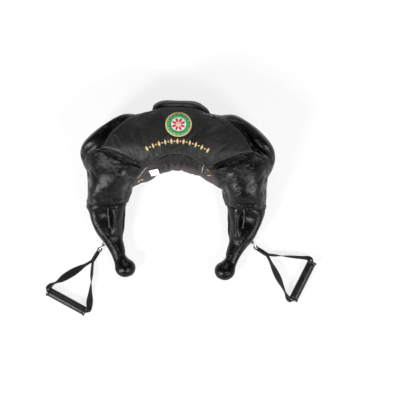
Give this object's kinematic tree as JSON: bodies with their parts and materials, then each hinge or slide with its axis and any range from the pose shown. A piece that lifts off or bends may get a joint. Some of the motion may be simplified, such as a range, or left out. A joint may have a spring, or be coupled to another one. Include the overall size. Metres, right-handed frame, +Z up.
{
  "type": "bulgarian training bag",
  "caption": "Crescent-shaped black leather training bag that narrows to two round-ended grips, with a padded collar and a webbing strap and tube handle on each grip.",
  "frame": {"origin": "on the floor, under the middle of the bag, on the flat of the base panel", "axes": "+X from the left grip to the right grip, +Y away from the grips towards the back flap, +Z up"},
  "size_m": [0.8095, 0.6398, 0.1957],
  "materials": {
    "leather": "pebbled, satin gloss",
    "collar": "fine grain, dull satin",
    "lining": "matte padding",
    "wool": "matte fleece",
    "sand": "matte, bagged sand",
    "webbing": "woven webbing",
    "steel": "polished",
    "plastic": "satin gloss",
    "foam": "soft satin",
    "patch": "embroidered",
    "label": "woven tape, blank"
  },
  "bodies": {
    "bag": {"crown_panel": "leather", "neck_gusset": "leather", "back_panel_middle": "leather", "back_panel_left": "leather", "back_panel_right": "leather", "base_panel": "leather", "arm_top_left": "leather", "arm_top_right": "leather", "arm_under_left": "leather", "arm_under_right": "leather", "grip_top_left": "leather", "grip_top_right": "leather", "grip_under_left": "leather", "grip_under_right": "leather", "wool_wrap_middle": "wool", "wool_wrap_left": "wool", "wool_wrap_right": "wool", "sand_bag_middle": "sand", "sand_bag_left": "sand", "sand_bag_right": "sand", "grip_core_left": "wool", "grip_core_right": "wool", "collar_pad": "lining", "collar_leather": "collar", "collar_binding": "collar", "edge_strip_left": "collar", "edge_strip_right": "collar", "piping_left": "leather", "piping_right": "leather", "back_flap": "leather", "emblem_patch": "patch", "care_label": "label", "anchor_loop_left": "webbing", "anchor_loop_right": "webbing"},
    "ring_left": {"ring_left": "steel"},
    "strap_left": {"strap_left": "webbing"},
    "handle_left": {"handle_tube_left": "plastic", "handle_sleeve_left": "foam", "end_cap_left_a": "plastic", "end_cap_left_b": "plastic"},
    "ring_right": {"ring_right": "steel"},
    "strap_right": {"strap_right": "webbing"},
    "handle_right": {"handle_tube_right": "plastic", "handle_sleeve_right": "foam", "end_cap_right_a": "plastic", "end_cap_right_b": "plastic"}
  },
  "joints": [
    {"name": "ring_turn_left", "type": "hinge", "parent": "bag", "child": "ring_left", "pos_m": [-0.21463, -0.32581, 0.015], "axis": [0, 0, 1], "range_deg": [-85, 30]},
    {"name": "strap_lift_left", "type": "hinge", "parent": "ring_left", "child": "strap_left", "pos_m": [-0.22109, -0.33471, 0.015], "axis": [-0.809, 0.5878, 0], "range_deg": [0, 80]},
    {"name": "handle_spin_left", "type": "hinge", "parent": "strap_left", "child": "handle_left", "pos_m": [-0.31974, -0.49938, 0.015], "axis": [0.891, -0.454, 0], "continuous": true},
    {"name": "ring_turn_right", "type": "hinge", "parent": "bag", "child": "ring_right", "pos_m": [0.22693, -0.30599, 0.015], "axis": [0, 0, 1], "range_deg": [-35, 65]},
    {"name": "strap_lift_right", "type": "hinge", "parent": "ring_right", "child": "strap_right", "pos_m": [0.23355, -0.31477, 0.015], "axis": [-0.7986, -0.6018, 0], "range_deg": [0, 80]},
    {"name": "handle_spin_right", "type": "hinge", "parent": "strap_right", "child": "handle_right", "pos_m": [0.38084, -0.41712, 0.015], "axis": [0.4226, 0.9063, 0], "continuous": true}
  ]
}
